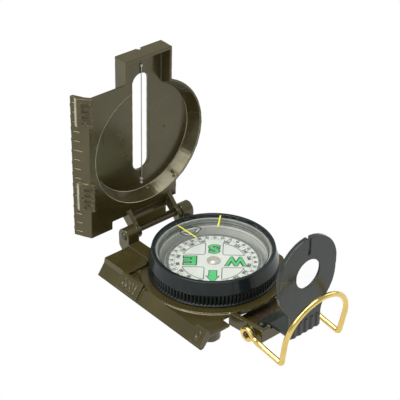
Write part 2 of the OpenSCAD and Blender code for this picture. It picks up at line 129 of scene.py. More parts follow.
def surface(name, color, rough, metal=0.0, mottle=0.18, mottle_scale=150.0, rough_swing=0.08,
            bump=0.25, bump_scale=1500.0, bump_mm=0.02, fine_bump=0.0,
            coat=0.0, coat_rough=0.12, spec=0.5, gloss_tint=None,
            wear_and_highlight=None, wear_and_highlight_from=0.54, wear_and_highlight_full=0.62, corner_shade=0.0, fleck=0.0, edge_mm=0.0):
    """Mottled, unevenly rough, bumpy surface.

    wear_and_highlight is the colour of convex edges, partly worn paint and partly a painted
    highlight; wear_and_highlight_from and wear_and_highlight_full the pointiness where it
    starts and is complete. corner_shade is painted shade that darkens concave corners, fleck
    scatters light specks, and edge_mm rounds edges in the shading only.
    """
    material = bpy.data.materials.new(name)
    tree = ShaderTree(material)
    position = tree.add("ShaderNodeTexCoord").outputs["Object"]

    def noise(scale, detail=4.0):
        inputs = {"Vector": position, "Scale": scale, "Detail": detail, "Roughness": 0.55}
        return tree.add("ShaderNodeTexNoise", inputs).outputs["Fac"]

    def bumped(strength, depth_mm, height, under):
        inputs = {"Strength": strength, "Distance": depth_mm * MM, "Height": height}
        if under:
            inputs["Normal"] = under
        return tree.add("ShaderNodeBump", inputs).outputs[0]

    base = tree.mix_color(tree.remap(noise(mottle_scale), 0.3, 0.7),
                          tint(color, 1 - mottle), tint(color, 1 + mottle))
    if fleck:
        specks = tree.remap(noise(9000.0, detail=1.0), 0.66, 0.72, 0.0, fleck)
        base = tree.mix_color(specks, base, tint(color, 2.6))
    rough_out = tree.remap(noise(mottle_scale * 2.2, detail=3.0), 0.3, 0.7,
                           max(0.02, rough - rough_swing), rough + rough_swing)
    if corner_shade or wear_and_highlight:
        pointiness = tree.add("ShaderNodeNewGeometry").outputs["Pointiness"]
    # painted shade: concave corners (low pointiness) darkened towards a quarter of the colour
    if corner_shade:
        painted_shade = tree.remap(pointiness, 0.5, 0.44, 0.0, corner_shade)
        base = tree.mix_color(painted_shade, base, tint(color, 0.25))
    # convex edges (high pointiness) lightened: partly worn paint, partly a painted highlight
    if wear_and_highlight:
        breakup = tree.remap(noise(700.0, detail=5.0), 0.35, 0.62)
        edges = tree.remap(pointiness, wear_and_highlight_from, wear_and_highlight_full)
        base = tree.mix_color(tree.multiply(edges, breakup), base, wear_and_highlight)

    normal = None
    if edge_mm:
        normal = tree.add("ShaderNodeBevel", {"Radius": edge_mm * MM}, samples=4).outputs[0]
    normal = bumped(bump, bump_mm, noise(bump_scale, detail=3.0), normal)
    if fine_bump:
        normal = bumped(fine_bump, 0.006, noise(6000.0, detail=2.0), normal)

    shader = tree.add("ShaderNodeBsdfPrincipled", {
        "Base Color": base, "Roughness": rough_out, "Metallic": metal, "Normal": normal,
        "Specular IOR Level": spec, "Coat Weight": coat, "Coat Roughness": coat_rough})
    if gloss_tint:
        shader.inputs["Specular Tint"].default_value = gloss_tint
    tree.add("ShaderNodeOutputMaterial", {0: shader.outputs[0]})
    return material


def clear(name, color, ior, rough, gain):
    """Thin clear sheet: straight-through view, mirroring from its front by its Fresnel share.

    gain scales that share.
    """
    material = bpy.data.materials.new(name)
    tree = ShaderTree(material)
    fresnel = tree.add("ShaderNodeFresnel", {"IOR": ior}).outputs[0]
    backfacing = tree.add("ShaderNodeNewGeometry").outputs["Backfacing"]
    scaled = tree.multiply(fresnel, gain)
    front = tree.add("ShaderNodeMath", {0: 1.0, 1: backfacing}, operation="SUBTRACT").outputs[0]
    share = tree.multiply(scaled, front)
    position = tree.add("ShaderNodeTexCoord").outputs["Object"]
    ripple = tree.add("ShaderNodeTexNoise", {"Scale": 60.0, "Vector": position}).outputs["Fac"]
    normal = tree.add("ShaderNodeBump", {"Strength": 0.05, "Distance": 0.02 * MM,
                                         "Height": ripple}).outputs[0]
    through = tree.add("ShaderNodeBsdfTransparent", {0: color}).outputs[0]
    gloss = tree.add("ShaderNodeBsdfGlossy", {"Roughness": rough, "Normal": normal}).outputs[0]
    tree.add("ShaderNodeOutputMaterial", {0: tree.mix_shader(share, through, gloss)})
    return material


OLIVE = (0.046, 0.036, 0.0100, 1)
MAT = {
    # painted metal and mouldings
    "paint": surface(
        "painted_casting", OLIVE, rough=0.2, mottle=0.2, mottle_scale=90, rough_swing=0.05,
        bump=0.22, bump_scale=900, bump_mm=0.01, fine_bump=0.25, coat=0.12, coat_rough=0.16,
        spec=1.0, gloss_tint=(1.0, 0.95, 0.66, 1), wear_and_highlight=srgb(138, 132, 102), wear_and_highlight_from=0.54,
        wear_and_highlight_full=0.66, corner_shade=0.7, fleck=0.3),
    "digits": surface(
        "painted_casting_digits", tint(OLIVE, 1.1), rough=0.34, mottle=0.2, mottle_scale=300,
        bump=0.3, wear_and_highlight=srgb(176, 168, 140), wear_and_highlight_from=0.53, wear_and_highlight_full=0.62, fleck=0.3),
    "bezel": surface(
        "bezel_gloss", (0.010, 0.0145, 0.0145, 1), rough=0.2, spec=0.35, mottle=0.25,
        mottle_scale=220, rough_swing=0.06, bump=0.15, bump_scale=700, bump_mm=0.01,
        fine_bump=0.15, coat=0.1, coat_rough=0.08, wear_and_highlight=srgb(120, 128, 128), wear_and_highlight_from=0.56,
        wear_and_highlight_full=0.7, corner_shade=0.4),
    "bracket": surface(
        "dark_plastic", (0.022, 0.0285, 0.0235, 1), rough=0.26, mottle=0.12, mottle_scale=160,
        rough_swing=0.06, bump=0.3, bump_scale=1300, bump_mm=0.01, fine_bump=0.2, coat=0.3,
        coat_rough=0.16, wear_and_highlight=srgb(120, 122, 114), wear_and_highlight_from=0.57, wear_and_highlight_full=0.7, corner_shade=0.4),
    # small metal parts
    "brass": surface(
        "brass", (0.94, 0.69, 0.22, 1), rough=0.17, metal=1.0, mottle=0.1, mottle_scale=260,
        rough_swing=0.06, bump=0.2, bump_scale=500, bump_mm=0.015, corner_shade=0.5),
    "peg": surface("peg", (0.72, 0.70, 0.60, 1), rough=0.3, metal=0.1, mottle=0.25,
                   mottle_scale=900, bump=0.25, bump_scale=3000, edge_mm=0.1),
    "steel": surface("steel", (0.55, 0.54, 0.5, 1), rough=0.32, metal=1.0, mottle=0.12,
                     mottle_scale=400, bump=0.15, bump_scale=3000, edge_mm=0.1),
    # dark steel; on the eyepiece spring it also paints the shade inside the channel
    "dark_steel_and_shade": surface("dark_steel_and_shade", (0.10, 0.07, 0.05, 1), rough=0.35, metal=0.7,
                          mottle=0.25, mottle_scale=700, bump=0.2, edge_mm=0.15),
    "pin": surface(
        "pin_paint", tint(OLIVE, 0.9), rough=0.3, mottle=0.2, mottle_scale=500, bump=0.25,
        bump_scale=1200, coat=0.4, wear_and_highlight=srgb(150, 142, 118), wear_and_highlight_from=0.53, wear_and_highlight_full=0.62,
        fleck=0.3),
    "silver": surface("capsule_metal", (0.88, 0.88, 0.85, 1), rough=0.35, metal=0.05,
                      mottle=0.06, mottle_scale=200, bump=0.1, bump_scale=800, edge_mm=0.2),
    # rubber and the bottom cover
    "gasket": surface("grey_rubber", (0.36, 0.37, 0.345, 1), rough=0.3, mottle=0.12,
                      mottle_scale=300, bump=0.2, bump_scale=2500, spec=0.6),
    "black": surface("black_rubber", (0.02, 0.02, 0.02, 1), rough=0.55, mottle=0.2,
                     mottle_scale=500, bump=0.3, bump_scale=2500, edge_mm=0.1),
    "cover_plate": surface("dark_moulding", (0.045, 0.045, 0.042, 1), rough=0.5, mottle=0.15,
                           mottle_scale=200, bump=0.35, bump_scale=2600, edge_mm=0.2),
    # dial card, its print and the marks
    "card": surface(
        "card", (0.80, 0.81, 0.77, 1), rough=0.5, mottle=0.02, mottle_scale=120,
        rough_swing=0.05, bump=0.12, bump_scale=2500, spec=0.4, edge_mm=0.1),
    "print": surface("print_grey", (0.025, 0.025, 0.027, 1), rough=0.5, mottle=0.15,
                     mottle_scale=1500, bump=0.1),
    # lighter paint for thin edge lines: painted highlights on rim edges, partly worn paint
    "lip": surface("edge_highlight_and_wear", (0.42, 0.40, 0.28, 1), rough=0.3, metal=0.2, mottle=0.25,
                   mottle_scale=500, bump=0.2),
    "band": surface("print_band", (0.36, 0.36, 0.35, 1), rough=0.45, mottle=0.06,
                    mottle_scale=900, bump=0.1),
    "green": surface("print_green", (0.11, 0.62, 0.22, 1), rough=0.5, mottle=0.12,
                     mottle_scale=900, bump=0.15),
    "dark_green": surface("print_green_dark", (0.006, 0.05, 0.018, 1), rough=0.5, mottle=0.15,
                          mottle_scale=900, bump=0.1),
    "yellow": surface("yellow_mark", (0.84, 0.80, 0.06, 1), rough=0.4, mottle=0.08,
                      mottle_scale=900, bump=0.15),
    # pivot and lens parts
    "magnet": surface("magnet", (0.16, 0.16, 0.17, 1), rough=0.4, metal=0.8, mottle=0.15,
                      mottle_scale=500, bump=0.3, bump_scale=2500, edge_mm=0.15),
    "cap": surface("cap_plastic", (0.66, 0.6, 0.55, 1), rough=0.22, metal=0.3, mottle=0.06,
                   mottle_scale=500, bump=0.1, coat=0.4, coat_rough=0.08),
    "jewel": surface("jewel", (0.45, 0.03, 0.08, 1), rough=0.1, mottle=0.1, mottle_scale=900,
                     bump=0.05, coat=0.8),
    "ring": surface("lens_ring", (0.03, 0.03, 0.032, 1), rough=0.4, mottle=0.15,
                    mottle_scale=600, bump=0.2, bump_scale=2500, edge_mm=0.15),
    "glass": clear("clear", (0.985, 0.99, 0.985, 1), ior=1.42, rough=0.015, gain=0.55),
    "lens": clear("clear_lens", (0.99, 0.995, 0.99, 1), ior=1.4, rough=0.01, gain=0.5),
}


# ---------------------------------------------------------------- shapes: (verts, faces)
# Faces of a six-sided block given as one ring of four corners, then the opposite ring.
BLOCK_FACES = [(0, 1, 2, 3), (7, 6, 5, 4), (0, 4, 5, 1), (1, 5, 6, 2), (2, 6, 7, 3), (3, 7, 4, 0)]


def moved(shape, matrix):
    verts, faces = shape
    points = np.c_[np.asarray(verts, float), np.ones(len(verts))]
    return (points @ np.array(matrix, float).T)[:, :3], faces


def merge(shapes):
    verts, faces = [], []
    for part_verts, part_faces in shapes:
        start = len(verts)
        verts += [tuple(p) for p in part_verts]
        faces += [tuple(i + start for i in face) for face in part_faces]
    return verts, faces


def arc(x, z, radius, start, end, steps):
    angles = [math.radians(start + (end - start) * i / steps) for i in range(steps + 1)]
    return [(x + radius * math.cos(a), z + radius * math.sin(a)) for a in angles]


def lathe(profile, steps, radius_at=None):
    """Ring turned from a closed profile of (radius, z, ...) points.

    radius_at(point, step) may vary the radius round the ring. Edges on the axis make no faces.
    """
    verts, faces = [], []
    count = len(profile)
    for i in range(steps):
        turn = 2 * math.pi * i / steps
        for point in profile:
            r = radius_at(point, i) if radius_at else point[0]
            verts.append((r * math.cos(turn), r * math.sin(turn), point[1]))
    for i in range(steps):
        here, following = i * count, ((i + 1) % steps) * count
        for j in range(count):
            k = (j + 1) % count
            if profile[j][0] < 1e-9 and profile[k][0] < 1e-9:
                continue
            faces.append((here + j, following + j, following + k, here + k))
    return verts, faces


def solid_lathe(profile, steps):
    """Solid of revolution from an open (radius, z) profile with both ends on the axis."""
    side = profile[1:-1]
    count = len(side)
    verts = [(0, 0, profile[0][1])]
    for i in range(steps):
        turn = 2 * math.pi * i / steps
        verts += [(r * math.cos(turn), r * math.sin(turn), z) for r, z in side]
    verts.append((0, 0, profile[-1][1]))
    last = len(verts) - 1
    faces = []
    for i in range(steps):
        a, b = 1 + i * count, 1 + ((i + 1) % steps) * count
        faces.append((0, b, a))
        faces += [(a + j, b + j, b + j + 1, a + j + 1) for j in range(count - 1)]
        faces.append((a + count - 1, b + count - 1, last))
    return verts, faces


def bar(x0, x1, y0, y1, z0, z1):
    verts = [(x, y, z) for z in (z0, z1) for y in (y0, y1) for x in (x0, x1)]
    return verts, [(0, 2, 3, 1), (4, 5, 7, 6), (0, 1, 5, 4), (2, 6, 7, 3), (0, 4, 6, 2),
                   (1, 3, 7, 5)]


def strip(points, width, z0, z1, closed=True):
    """Flat line of the given width along points in the x, y plane, as a thin solid."""
    line = np.asarray(points, float)
    n = len(line)
    along = np.roll(line, -1, 0) - np.roll(line, 1, 0)
    if not closed:
        along[0], along[-1] = line[1] - line[0], line[-1] - line[-2]
    along /= np.linalg.norm(along, axis=1)[:, None] + 1e-12
    across = np.c_[-along[:, 1], along[:, 0]]
    sides = line + across * width / 2, line - across * width / 2
    verts = [(*p, z) for z in (z0, z1) for side in sides for p in side]
    faces = []
    for i in range(n if closed else n - 1):
        j = (i + 1) % n
        faces += [(i, j, n + j, n + i), (2 * n + i, 3 * n + i, 3 * n + j, 2 * n + j),
                  (i, 2 * n + i, 2 * n + j, j), (n + i, n + j, 3 * n + j, 3 * n + i)]
    if not closed:
        faces += [(0, n, 3 * n, 2 * n), (n - 1, 3 * n - 1, 4 * n - 1, 2 * n - 1)]
    return verts, faces


def glyphs(text, height, depth, bold, squeeze=1.0, spacing=1.0, round_edge=0.0):
    """Text as a solid from z 0 to depth, centred in x and y, with the given cap height.

    bold and round_edge are shares of the font size, squeeze scales the width.
    """
    curve = bpy.data.curves.new("text", "FONT")
    curve.body = text
    curve.size = 1.0
    curve.extrude = 0.5 * depth / height * 0.72
    curve.offset = bold
    curve.space_character = spacing
    curve.resolution_u = 3
    curve.bevel_depth = round_edge
    curve.bevel_resolution = 1 if round_edge else 0
    source = bpy.data.objects.new("text", curve)
    scene.collection.objects.link(source)
    bpy.context.view_layer.update()
    graph = bpy.context.evaluated_depsgraph_get()
    mesh = bpy.data.meshes.new_from_object(source.evaluated_get(graph))
    verts = np.array([p.co for p in mesh.vertices], float).reshape(-1, 3)
    faces = [tuple(p.vertices) for p in mesh.polygons]
    bpy.data.objects.remove(source)
    bpy.data.meshes.remove(mesh)
    bpy.data.curves.remove(curve)

    low, high = verts.min(0), verts.max(0)
    verts[:, :2] -= (low[:2] + high[:2]) / 2
    verts[:, 2] -= low[2]
    verts = verts / (high[1] - low[1]) * height
    verts[:, 0] *= squeeze
    verts[:, 2] *= depth / verts[:, 2].max()
    return verts, faces


# ---------------------------------------------------------------- objects
def build(name, shape, material, body, slot, *replaced, sharp=30.0):
    """Object from a shape, smooth but for edges over sharp degrees, riding on a body."""
    verts, faces = shape
    mesh = bpy.data.meshes.new(name)
    mesh.from_pydata((np.asarray(verts, float) * MM).tolist(), [], faces)
    mesh.update()
    ob = bpy.data.objects.new(name, mesh)
    scene.collection.objects.link(ob)

    bm = bmesh.new()
    bm.from_mesh(mesh)
    bmesh.ops.remove_doubles(bm, verts=bm.verts, dist=1e-8)
    bmesh.ops.recalc_face_normals(bm, faces=bm.faces)
    limit = math.radians(sharp)
    for face in bm.faces:
        face.smooth = True
    for edge in bm.edges:
        edge.smooth = not (len(edge.link_faces) == 2 and edge.calc_face_angle(0.0) > limit)
    bm.to_mesh(mesh)
    bm.free()

    mesh.materials.append(material)
    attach(ob, body)
    if replaced:
        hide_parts(*replaced)


def soften(name, node, voxel_mm, rounds, material, body, extra=()):
    """Cast or moulded part: its CAD solid and extra shapes, remeshed and rounded over."""
    bm = bmesh.new()
    bm.from_mesh(NODES[node].data)
    for verts, faces in extra:
        shape = bpy.data.meshes.new("extra")
        shape.from_pydata((np.asarray(verts, float) * MM).tolist(), [], faces)
        bm.from_mesh(shape)
        bpy.data.meshes.remove(shape)
    bmesh.ops.remove_doubles(bm, verts=bm.verts, dist=2e-6)
    bmesh.ops.recalc_face_normals(bm, faces=bm.faces)
    source = bpy.data.meshes.new(name + "_source")
    bm.to_mesh(source)
    bm.free()
    source.materials.clear()
    ob = bpy.data.objects.new(name, source)
    scene.collection.objects.link(ob)

    remesh = ob.modifiers.new("remesh", "REMESH")
    remesh.mode = "VOXEL"
    remesh.voxel_size = voxel_mm * MM
    remesh.use_smooth_shade = True
    smooth = ob.modifiers.new("smooth", "SMOOTH")
    smooth.factor = 0.5
    smooth.iterations = rounds
    bpy.context.view_layer.update()
    graph = bpy.context.evaluated_depsgraph_get()
    mesh = bpy.data.meshes.new_from_object(ob.evaluated_get(graph))
    ob.modifiers.clear()
    ob.data = mesh
    mesh.name = name
    bpy.data.meshes.remove(source)

    bm = bmesh.new()
    bm.from_mesh(mesh)
    for element in (*bm.faces, *bm.edges):
        element.smooth = True
    bm.to_mesh(mesh)
    bm.free()
    shading = ("custom_normal", "sharp_edge", "sharp_face")
    for attribute in [a.name for a in mesh.attributes if a.name in shading]:
        mesh.attributes.remove(mesh.attributes[attribute])
    mesh.materials.clear()
    mesh.materials.append(material)
    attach(ob, body)
    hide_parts(node)
    return ob


def keep(node, material):
    """Show a CAD node as it is, in a detailed material."""
    materials = NODES[node].data.materials
    materials.clear()
    materials.append(material)


# ---------------------------------------------------------------- castings
SEAT_RADIUS, SEAT_Z = 22.3, 7.3     # base faces inside and above these show grey rubber

# Small cast nubs, cover shut: centre, radius, height as a share of the radius
COVER_NUBS = [
    ((2.84, -10.65, 9.0), 0.55, 1.0),
    ((13.9, -14.0, 7.3), 0.6, 1.0),
    ((13.5, -12.95, 5.9), 0.5, 1.0),
    ((11.4, -34.7, 9.9), 0.5, 0.7),
]


def nub(centre, radius, flat):
    rings, sides = 9, 12
    x, y, z = centre
    verts, faces = [], []
    for i in range(rings):
        for j in range(sides):
            # the end rings stay just open and are closed by caps
            a, b = math.pi * (i + 0.02) / 8.04, 2 * math.pi * j / sides
            verts.append((x + radius * math.sin(a) * math.cos(b),
                          y + radius * math.sin(a) * math.sin(b),
                          z + radius * flat * math.cos(a)))
    for i in range(rings - 1):
        low, high = i * sides, (i + 1) * sides
        for j in range(sides):
            k = (j + 1) % sides
            faces.append((low + j, high + j, high + k, low + k))
    faces.append(tuple(range(sides))[::-1])
    faces.append(tuple(range((rings - 1) * sides, rings * sides)))
    return moved((verts, faces), COVER)


def build_castings():
    base = soften("base_casting", "base_frame", voxel_mm=0.2, rounds=3,
                  material=MAT["paint"], body="base")
    base.data.materials.append(MAT["gasket"])
    for face in base.data.polygons:
        c = face.center / MM
        if c.z > SEAT_Z and c.x * c.x + c.y * c.y < SEAT_RADIUS ** 2:
            face.material_index = 1

    cover = soften("cover_casting", "cover_shell", voxel_mm=0.17, rounds=2,
                   material=MAT["paint"], body="cover", extra=[nub(*n) for n in COVER_NUBS])
    bracket = soften("eyepiece_bracket", "lens_bracket", voxel_mm=0.17, rounds=4,
                     material=MAT["bracket"], body="eyepiece")


# ---------------------------------------------------------------- raised numerals
def on_slope(centre, text_along, text_up, sink):
    """Matrix laying text on a sloping pad, sunk into it by sink."""
    along, up = Vector(text_along), Vector(text_up).normalized()
    out = along.cross(up).normalized()
    turn = Matrix((along, up, out)).transposed().to_4x4()
    return Matrix.Translation(Vector(centre) - out * sink) @ turn


def raised_numerals(name, body, frame, labels, centre_xz, text_along, text_up, **style):
    """Labels are (text, y) pairs on the -X pads, style goes to glyphs."""
    x, z = centre_xz
    parts = []
    for text, y in labels:
        on_pad = on_slope((x, y, z), text_along, text_up, sink=0.2)
        parts.append(moved(glyphs(text, **style), frame @ on_pad))
    build(name, merge(parts), MAT["digits"], body, "painted_casting", sharp=35)


def build_numerals():
    # (x, z) at the foot and the head of the base pads' slope
    (foot_x, foot_z), (head_x, head_z) = (-31.6, 3.1), (-28.0, 8.2)
    raised_numerals(
        "base_numerals", "base", Matrix(), [("1000", 13.6), ("0", -26.0)],
        centre_xz=((foot_x + head_x) / 2, (foot_z + head_z) / 2),
        text_along=(0, 1, 0), text_up=(foot_x - head_x, 0, foot_z - head_z),
        height=3.9, depth=0.45, bold=0.02, squeeze=0.82, spacing=1.02, round_edge=0.02)
    raised_numerals(
        "cover_numerals", "cover", COVER, [("3000", -56.2), ("2000", -19.95)],
        centre_xz=(-28.7, MOUTH_Z + 0.85), text_along=(0, -1, 0), text_up=(-3.7, 0, 3.85),
        height=4.2, depth=0.5, bold=0.03, squeeze=0.9, spacing=1.04, round_edge=0.02)


# ---------------------------------------------------------------- cover and wall details
# Painted highlight lines round the cover pocket's rim edges: radius, z above the mouth, start and
# end angle from +Y towards +X with the cover shut, half thickness
HIGHLIGHT_LIPS = [
    (25.32, 0.02, -62, 100, 0.13),
    (22.98, 5.12, -75, 130, 0.12),
    (25.32, 0.02, -163, -56, 0.1),
]
# Lighter strips on the outer side of the cover pads, a painted highlight on their lit side faces
# and partly worn paint:
# y range, then (x, z above the mouth) ends
PAD_SPANS = [(50.5, 61.9), (14.2, 25.7)]    # distances from the hinge towards -Y
PAD_EDGE = ((-30.86, 3.25), (-30.62, 4.75))
PAD_EDGE_THICK = 0.1
# Seams round the capsule wall: z, radius, half height
WALL_SEAMS = [(15.28, 20.62, 0.10), (14.3, 20.5, 0.07), (13.32, 20.34, 0.09), (12.25, 20.12, 0.06)]
SEAM_HALF_DEPTH = 0.1


def bare_lip(radius, z, start, end, half, steps=120):
    """Four-sided wire along an arc, tapered at both ends."""
    verts, faces = [], []
    for i in range(steps + 1):
        angle = math.radians(start + (end - start) * i / steps)
        size = half * min(1.0, 6 * min(i, steps - i) / steps + 0.15)
        for dr, dz in ((size, 0), (0, size), (-size, 0), (0, -size)):
            verts.append(((radius + dr) * math.sin(angle),
                          -HINGE_Y + (radius + dr) * math.cos(angle), MOUTH_Z + z + dz))
    for i in range(steps):
        for k in range(4):
            m = (k + 1) % 4
            faces.append((4 * i + k, 4 * i + m, 4 * i + 4 + m, 4 * i + 4 + k))
    end_ring = 4 * steps
    faces += [(3, 2, 1, 0), (end_ring, end_ring + 1, end_ring + 2, end_ring + 3)]
    return moved((verts, faces), COVER)


def pad_edge(near, far):
    low, high = (Vector((x, 0, MOUTH_Z + z)) for x, z in PAD_EDGE)
    (low_x, low_z), (high_x, high_z) = PAD_EDGE
    run = Vector((high_x - low_x, 0, high_z - low_z)).normalized()
    out = Vector((-run.z, 0, run.x)) * PAD_EDGE_THICK
    corners = [low + out, high + out, high - out * 2, low - out * 2]
    verts = [(c.x, -y, c.z) for y in (near, far) for c in corners]
    return moved((verts, BLOCK_FACES), COVER)


def tab_mark_arm(side):
    """One arm of the V mark on the cover's tab, above the upper hole of the wire."""
    outline = ((0.0, -66.9), (side * 1.75, -68.5), (side * 2.0, -68.25), (0.0, -66.45))
    verts = [(x - 0.1, y, z) for z in (9.72, 9.84) for x, y in outline]
    return moved((verts, BLOCK_FACES), COVER)


def build_cover_and_wall_details():
    # thin light lines that paint highlights on the pocket's rim edges
    build("cover_highlight_lips", merge(bare_lip(*lip) for lip in HIGHLIGHT_LIPS), MAT["lip"],
          "cover", "painted_casting", sharp=60)
    # light strips that paint the lit side faces of the pads, partly worn paint
    build("cover_pad_edges", merge(pad_edge(*span) for span in PAD_SPANS), MAT["lip"],
          "cover", "painted_casting")
    d = SEAM_HALF_DEPTH
    seams = [lathe([(r, z - h), (r - d, z), (r, z + h), (r + d, z)], 144)
             for z, r, h in WALL_SEAMS]
    build("capsule_wall_seams", merge(seams), MAT["black"], "base", "black_rubber", sharp=40)
    build("tab_mark", merge(tab_mark_arm(side) for side in (-1, 1)), MAT["black"],
          "cover", "painted_casting")


# ---------------------------------------------------------------- bezel
KNURLS = 104
STEPS_PER_KNURL = 8
KNURL_DEPTH = 0.62


def plain(points):
    """Profile points without knurling."""
    return [(r, z, 0) for r, z in points]


# radius, z, share of the knurl depth
BEZEL_PROFILE = plain([
    (22.06, 7.1), (22.0, 7.18), (22.0, 8.7),
    *arc(21.95, 9.2, 0.5, -72, 72, 8),
    (22.0, 9.72), (22.0, 16.06), (21.96, 16.1), (21.84, 16.1), (21.8, 16.14), (21.8, 16.95),
    *arc(22.05, 16.95, 0.25, 180, 90, 5),
    (22.5, 17.21),
    *arc(22.95, 16.85, 0.35, 90, 18, 6),
    (23.42, 16.2), (23.72, 15.1), (24.02, 13.9), (24.3, 12.95),
    *arc(24.2, 12.3, 0.3, 15, -80, 6),
    (24.2, 11.92), (24.28, 11.82),
]) + [
    (24.3, 11.65, 0.55), (24.3, 11.4, 1), (24.3, 8.2, 1), (24.3, 7.95, 0.7),
] + plain([
    (24.28, 7.8), (24.34, 7.74),
    *arc(24.5, 7.54, 0.18, 80, 0, 4),
    (24.68, 7.3), (24.6, 7.16), (24.5, 7.1),
])
# Glass with a ground edge: radius, z
BEZEL_CRYSTAL = [(0, 16.3), (21.6, 16.3), (21.77, 16.42), (21.77, 16.78), (21.6, 16.9), (0, 16.9)]


def knurled_radius(point, step):
    """Radius with a groove cut at the start of each knurl and a flat land between."""
    radius, _, share = point
    phase = (step % STEPS_PER_KNURL) / STEPS_PER_KNURL
    rise = 0.5 - 0.5 * math.cos(2 * math.pi * phase)
    return radius - share * KNURL_DEPTH * (1 - min(1.0, rise * 1.7))


def build_bezel():
    build("bezel", lathe(BEZEL_PROFILE, KNURLS * STEPS_PER_KNURL, knurled_radius),
          MAT["bezel"], "bezel", "bezel_gloss", "bezel_ring", sharp=50)
    build("bezel_crystal", solid_lathe(BEZEL_CRYSTAL, FINE_TURN), MAT["glass"],
          "bezel", "clear", "bezel_glass")


# ---------------------------------------------------------------- capsule (radius, z)
SEAL_PROFILE = [
    (20.95, 13.3), (20.95, 15.3), (20.75, 15.3), (20.6, 15.18), (20.62, 14.95),
    (20.5, 14.86), (20.5, 14.66), (20.62, 14.58), (20.64, 14.3), (20.45, 14.2),
    (20.42, 13.98), (20.6, 13.9), (20.62, 13.62), (20.36, 13.5), (20.32, 13.3),
]
CAPSULE_CRYSTAL = [
    (0, 15.32), (20.8, 15.32), (20.93, 15.42), (20.93, 15.98), (20.8, 16.1), (0, 16.1),
]
BOWL_PROFILE = [
    (0, 2.0), (20.9, 2.0), (20.95, 2.05), (20.95, 13.2), (20.88, 13.28), (20.3, 13.28),
    (20.2, 13.18), (20.2, 12.4), (20.12, 12.3), (20.12, 12.1), (20.2, 12.0), (20.2, 4.0),
    *arc(19.0, 4.0, 1.2, -10, -90, 6), (0, 2.8),
]


def build_capsule():
    build("capsule_seal", lathe(SEAL_PROFILE, FINE_TURN), MAT["gasket"],
          "base", "black_rubber", "capsule_gasket", sharp=25)
    build("capsule_crystal", solid_lathe(CAPSULE_CRYSTAL, FINE_TURN), MAT["glass"],
          "base", "clear", "capsule_window")
    build("capsule_bowl_shell", solid_lathe(BOWL_PROFILE, FINE_TURN), MAT["silver"],
          "base", "capsule_metal", "capsule_bowl")


# ---------------------------------------------------------------- dial card
INK_LOW = DIAL_TOP + 0.002
INK_HIGH = DIAL_TOP + 0.024
DISC_PROFILE = [
    (1.7, DIAL_TOP - 0.35), (18.2, DIAL_TOP - 0.4), (18.3, DIAL_TOP - 0.32),
    (18.3, DIAL_TOP - 0.08), (18.22, DIAL_TOP), (1.65, DIAL_TOP), (1.65, DIAL_TOP - 0.35),
]
BAND_TOP = DIAL_TOP + 0.02
BAND_PROFILE = [(16.8, INK_LOW), (18.2, INK_LOW), (18.2, BAND_TOP), (16.8, BAND_TOP)]


def build_dial_card():
    build("dial_disc", lathe(DISC_PROFILE, 180), MAT["card"], "dial", "card", "dial_card")
    build("dial_edge_band", lathe(BAND_PROFILE, 240), MAT["band"], "dial", "card")


# ---------------------------------------------------------------- air bubble
BUBBLE_AZIMUTH, BUBBLE_RADIUS = 9.0, 16.8       # its centre, degrees from +Y and distance
BUBBLE_HALF_LONG, BUBBLE_HALF_WIDE = 4.1, 2.7
BUBBLE_Z = 14.5

# Lines under the capsule window, painted shade of the bubble's rim and painted glints: scale,
# start and end angle, width, top z, closed
BUBBLE_RIM_SHADE = [(1.0, 0, 360, 0.3, 14.62, True), (0.62, 150, 330, 0.12, 14.6, False)]
BUBBLE_GLINTS = [
    (0.8, 190, 260, 0.5, 14.6, False),
    (0.82, 300, 350, 0.45, 14.6, False),
    (0.5, 20, 110, 0.3, 14.6, False),
]


def bubble_line(scale, start, end, width, top, closed, steps=64):
    """Part of the bubble's lobed, bent outline."""
    turn = math.radians(BUBBLE_AZIMUTH)
    cos, sin = math.cos(turn), math.sin(turn)
    points = []
    for i in range(steps):
        angle = math.radians(start + (end - start) * i / steps)
        swell = (1.0 + 0.12 * math.sin(3 * angle + 0.7)) * scale
        x = BUBBLE_HALF_LONG * math.cos(angle) * swell
        y = BUBBLE_HALF_WIDE * math.sin(angle) * swell
        y -= 0.035 * x * x      # bends with the capsule wall
        points.append((BUBBLE_RADIUS * sin + x * cos + y * sin,
                       BUBBLE_RADIUS * cos - x * sin + y * cos))
    return strip(points, width, BUBBLE_Z, top, closed)


def build_air_bubble():
    # dark strips that paint the shade of the bubble's rim
    build("air_bubble_rim_shade", merge(bubble_line(*line) for line in BUBBLE_RIM_SHADE), MAT["black"],
          "base", "black_rubber")
    # white strips that paint the bubble's glints
    build("air_bubble_glints", merge(bubble_line(*line) for line in BUBBLE_GLINTS),
          MAT["card"], "base", "clear")


# ---------------------------------------------------------------- dial print
# Outer scale: 128 ticks, every fourth long, numbered 0 to 62. Inner scale: 72 ticks, degrees.
OUTER_TICKS, OUTER_NUMBERS = 128, 32
INNER_TICKS, INNER_NUMBERS = 72, 18
OUTER_TICK_ORIGIN, OUTER_TICK_END = 17, 18.0
OUTER_TICK_LONG, OUTER_TICK_SHORT = 16.45, 16.95    # radius where the tick starts
INNER_TICK_ORIGIN, INNER_TICK_INWARD = 14.9, 0.45
INNER_TICK_LONG, INNER_TICK_SHORT = 15.0, 14.85     # radius where the tick ends
OUTER_TICK_HALF, INNER_TICK_HALF = 0.17, 0.15
OUTER_TICK_LIFT = 0.03                              # keeps the ticks above the edge band
OUTER_NUMBER_RADIUS, INNER_NUMBER_RADIUS = 15.72, 13.55

# Outlined panel in each quarter: straight sides at x and y, round side at radius
PANEL_X, PANEL_Y, PANEL_RADIUS = 3.35, 4.1, 12.35
PANEL_CORNER = 0.9
PANEL_LINE = 0.27

